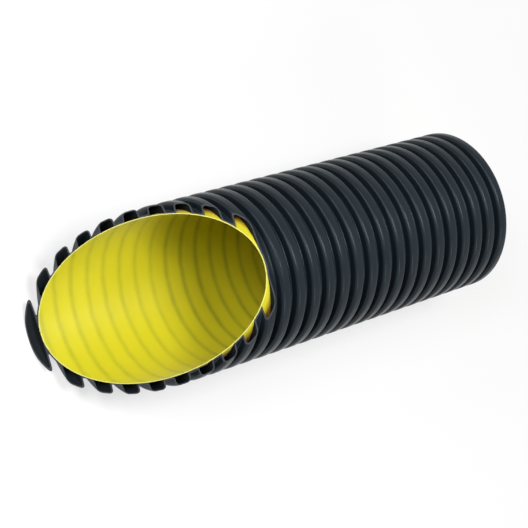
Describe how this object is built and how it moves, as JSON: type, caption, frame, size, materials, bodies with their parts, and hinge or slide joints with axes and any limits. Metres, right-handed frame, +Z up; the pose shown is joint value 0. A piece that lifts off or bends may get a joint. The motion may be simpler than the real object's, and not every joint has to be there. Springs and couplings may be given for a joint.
{
  "type": "double-wall corrugated sewer pipe",
  "caption": "Length of ribbed drain pipe with a black corrugated outer wall over a smooth yellow liner, cut square at one end and at a slant at the other.",
  "frame": {"origin": "on the pipe's axis, in the plane of its square end", "axes": "+X along the axis from the square end towards the slanted end, +Z up as it lies, with the longest side of the slanted end at the bottom"},
  "size_m": [0.5747, 0.2, 0.2],
  "materials": {
    "outer_black": "satin black polyethylene",
    "liner_yellow": "smooth yellow polyethylene"
  },
  "bodies": {
    "root": {"corrugated_wall": "outer_black", "smooth_liner": "liner_yellow"}
  },
  "joints": []
}
